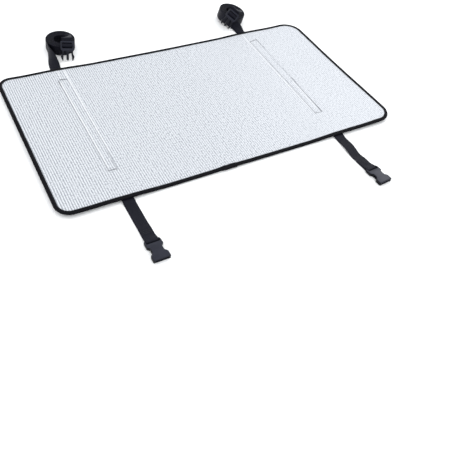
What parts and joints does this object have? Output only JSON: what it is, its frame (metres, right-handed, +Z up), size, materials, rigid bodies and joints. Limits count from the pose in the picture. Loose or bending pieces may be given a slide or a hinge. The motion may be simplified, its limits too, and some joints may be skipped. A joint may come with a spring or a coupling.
{
  "type": "air conditioner top cover",
  "caption": "Flat foil-faced foam cover for an outdoor air conditioner, edge bound in tape, with webbing straps wound up behind and side-release buckles.",
  "frame": {"origin": "middle of the whole layout's footprint, on the surface it lies on", "axes": "+X along the panel's long side, +Y from the socket buckles towards the rolls, +Z up"},
  "size_m": [0.8118, 0.7079, 0.0583],
  "materials": {
    "foil_foam": "satin silver foil, ribbed",
    "binding_tape": "matte woven tape",
    "webbing": "matte woven webbing",
    "buckle_plastic": "fine moulded texture"
  },
  "bodies": {
    "root": {"panel": "foil_foam", "binding": "binding_tape", "strap_left": "webbing", "strap_right": "webbing", "roll_left": "webbing", "roll_right": "webbing", "strap_end_left": "webbing", "strap_end_right": "webbing", "socket_buckle_left": "buckle_plastic", "socket_buckle_right": "buckle_plastic", "prong_buckle_left": "buckle_plastic", "prong_buckle_right": "buckle_plastic"}
  },
  "joints": []
}
